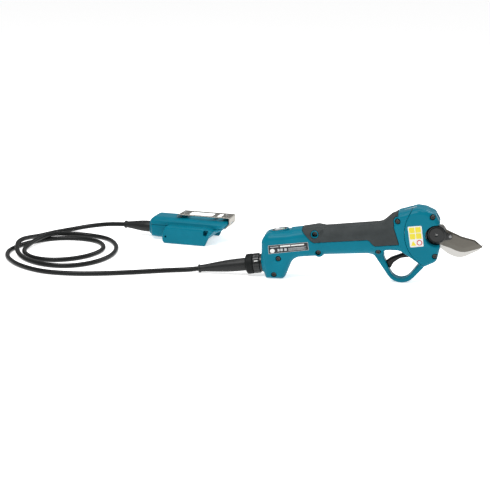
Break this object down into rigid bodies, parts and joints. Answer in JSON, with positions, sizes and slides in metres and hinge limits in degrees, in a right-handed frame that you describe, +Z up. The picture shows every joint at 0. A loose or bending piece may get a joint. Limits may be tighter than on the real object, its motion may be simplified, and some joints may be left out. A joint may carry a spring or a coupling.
{
  "type": "battery electric pruner",
  "caption": "Powered pruning shears: straight handpiece with a finger guard and hooked bypass blades, joined by a long curled lead to a battery adapter with a belt hook.",
  "frame": {"origin": "centre of the box round the handpiece and the battery adapter, on the floor that both stand on", "axes": "+X along the handpiece towards the blade tips, +Y towards the adapter behind it, +Z up; the blade plane is XZ"},
  "size_m": [0.6869, 0.2661, 0.1064],
  "materials": {
    "teal_casing": "satin moulded nylon",
    "soft_rubber": "matte moulded elastomer",
    "black_plastic": "satin moulded nylon",
    "cord_jacket": "satin jacket",
    "black_screw": "black oxide",
    "steel": "ground",
    "bronze": "sintered",
    "brass": "stamped",
    "dark_blade": "dark coated, ground edge",
    "bright_blade": "ground",
    "cast_frame": "die cast",
    "motor_paint": "plated",
    "board": "solder mask",
    "lead_wire": "silicone sleeve",
    "hook_steel": "plated",
    "button_white": "satin",
    "panel_silver": "satin film",
    "green_lens": "translucent",
    "label_dark": "film",
    "label_yellow": "film"
  },
  "bodies": {
    "handpiece": {"housing_left": "teal_casing", "housing_right": "teal_casing", "head_cover_left": "teal_casing", "head_cover_right": "teal_casing", "grip_left": "soft_rubber", "grip_right": "soft_rubber", "housing_screws": "black_screw", "cover_screws": "black_screw", "button_panel": "panel_silver", "indicator_lens": "green_lens", "switch_board": "board", "trigger_pin": "steel", "trigger_spring": "steel", "trigger_sensor": "board", "gear_frame": "cast_frame", "pivot_bolt": "steel", "pivot_nut": "steel", "counter_blade": "bright_blade", "counter_screws": "steel", "shaft_bearings": "steel", "carrier_bearing": "steel", "ring_gear": "steel", "motor_can": "motor_paint", "motor_bearings": "steel", "motor_leads": "lead_wire", "controller_board": "board", "cord_socket": "black_plastic", "socket_seal": "soft_rubber", "plug_body": "black_plastic", "handle_boot": "soft_rubber", "cord": "cord_jacket", "adapter_boot": "soft_rubber", "adapter_upper": "teal_casing", "adapter_lower": "teal_casing", "adapter_hook": "hook_steel", "hook_screws": "steel", "adapter_screws": "black_screw", "terminal_block": "black_plastic", "adapter_terminals": "brass", "adapter_board": "board", "rating_label": "label_dark", "head_label": "label_yellow"},
    "blade_unit": {"moving_blade": "dark_blade", "pivot_bush": "bronze", "pivot_cap": "black_plastic", "cap_screw": "steel"},
    "trigger_body": {"trigger": "black_plastic"},
    "button_body": {"power_button": "button_white"},
    "coupling_nut": {"coupling_ring": "black_plastic"},
    "drive_shaft": {"drive_gear": "steel"},
    "planet_carrier": {"bevel_pinion": "steel"},
    "planet_1": {"planet_gear_1": "steel"},
    "planet_2": {"planet_gear_2": "steel"},
    "planet_3": {"planet_gear_3": "steel"},
    "rotor": {"motor_rotor": "steel"}
  },
  "joints": [
    {"name": "blade_pivot", "type": "hinge", "parent": "handpiece", "child": "blade_unit", "pos_m": [0.2079, -0.0996, 0.0705], "axis": [0, -1, 0], "range_deg": [0, 55]},
    {"name": "drive_gear_spin", "type": "hinge", "parent": "handpiece", "child": "drive_shaft", "pos_m": [0.1779, -0.0996, 0.0705], "axis": [0, -1, 0], "range_deg": [-220, 0]},
    {"name": "bevel_pinion_spin", "type": "hinge", "parent": "handpiece", "child": "planet_carrier", "pos_m": [0.1779, -0.0996, 0.0705], "axis": [0.9925, 0, 0.1219], "range_deg": [0, 660]},
    {"name": "planet_1_spin", "type": "hinge", "parent": "planet_carrier", "child": "planet_1", "pos_m": [0.17691, -0.0996, 0.07854], "axis": [0.9925, 0, 0.1219], "range_deg": [-1848, 0]},
    {"name": "planet_2_spin", "type": "hinge", "parent": "planet_carrier", "child": "planet_2", "pos_m": [0.17839, -0.09259, 0.06648], "axis": [0.9925, 0, 0.1219], "range_deg": [-1848, 0]},
    {"name": "planet_3_spin", "type": "hinge", "parent": "planet_carrier", "child": "planet_3", "pos_m": [0.17839, -0.10662, 0.06648], "axis": [0.9925, 0, 0.1219], "range_deg": [-1848, 0]},
    {"name": "rotor_spin", "type": "hinge", "parent": "handpiece", "child": "rotor", "pos_m": [0.1779, -0.0996, 0.0705], "axis": [0.9925, 0, 0.1219], "range_deg": [0, 2970]},
    {"name": "trigger_pull", "type": "hinge", "parent": "handpiece", "child": "trigger_body", "pos_m": [0.1874, -0.0996, 0.047], "axis": [0, 1, 0], "range_deg": [0, 10], "stiffness_Nm_per_rad": 0.6, "springref_deg": -8.59, "deforming": ["trigger_spring"]},
    {"name": "power_button_press", "type": "slide", "parent": "handpiece", "child": "button_body", "axis": [0.1736, 0, -0.9848], "range_m": [0, 0.0008], "stiffness_N_per_m": 800, "springref_m": -0.0005},
    {"name": "coupling_ring_turn", "type": "hinge", "parent": "handpiece", "child": "coupling_nut", "pos_m": [-0.0271, -0.0996, 0.0188], "axis": [-0.9903, 0, -0.1392], "continuous": true}
  ],
  "couplings": [
    {"joint": "drive_gear_spin", "follows": "blade_pivot", "ratio": -4},
    {"joint": "bevel_pinion_spin", "follows": "blade_pivot", "ratio": 12},
    {"joint": "rotor_spin", "follows": "blade_pivot", "ratio": 54},
    {"joint": "planet_1_spin", "follows": "blade_pivot", "ratio": -33.6},
    {"joint": "planet_2_spin", "follows": "blade_pivot", "ratio": -33.6},
    {"joint": "planet_3_spin", "follows": "blade_pivot", "ratio": -33.6}
  ]
}
